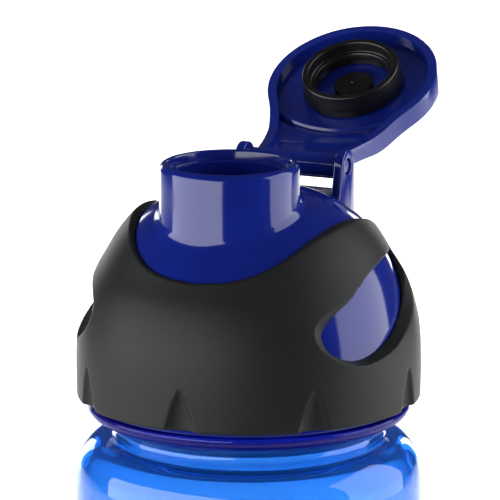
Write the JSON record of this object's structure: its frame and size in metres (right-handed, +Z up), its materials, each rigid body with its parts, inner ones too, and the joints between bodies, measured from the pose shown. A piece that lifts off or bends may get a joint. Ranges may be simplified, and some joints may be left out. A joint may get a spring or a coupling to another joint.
{
  "type": "sports bottle",
  "caption": "Clear blue sports bottle with a domed screw cap, a wide drinking spout, a hinged flip lid with a plug seal and a rubber grip sleeve.",
  "frame": {"origin": "centre of the flat base, on the surface that the bottle stands on", "axes": "+Z up along the bottle's axis; -Y towards the spout, +Y towards the lid's hinge; +X to the right when the spout faces the viewer"},
  "size_m": [0.074, 0.1143, 0.2418],
  "materials": {
    "clear_blue_copolyester": "clear blue, polished",
    "gloss_blue_polypropylene": "glossy moulded royal blue",
    "gasket_silicone": "matt silicone",
    "matt_grip_rubber": "matt, finely textured",
    "black_plug_elastomer": "satin black",
    "hinge_pin_polymer": "moulded blue-grey"
  },
  "bodies": {
    "bottle": {"bottle_body": "clear_blue_copolyester"},
    "cap_rise": {"cap_gasket": "gasket_silicone"},
    "cap": {"cap_shell": "gloss_blue_polypropylene", "grip_sleeve": "matt_grip_rubber", "hinge_pin": "hinge_pin_polymer"},
    "lid": {"flip_lid": "gloss_blue_polypropylene", "plug_seal": "black_plug_elastomer", "plug_button": "black_plug_elastomer"}
  },
  "joints": [
    {"name": "cap_lift", "type": "slide", "parent": "bottle", "child": "cap_rise", "axis": [0, 0, 1], "range_m": [0, 0.015]},
    {"name": "cap_turn", "type": "hinge", "parent": "cap_rise", "child": "cap", "pos_m": [0, 0, 0.175], "axis": [0, 0, 1], "range_deg": [0, 1080]},
    {"name": "lid_hinge", "type": "hinge", "parent": "cap", "child": "lid", "pos_m": [0, 0.025, 0.2205], "axis": [-1, 0, 0], "range_deg": [-152, 0]}
  ],
  "couplings": [
    {"joint": "cap_lift", "follows": "cap_turn", "m_per_rad": 0.00079577}
  ]
}
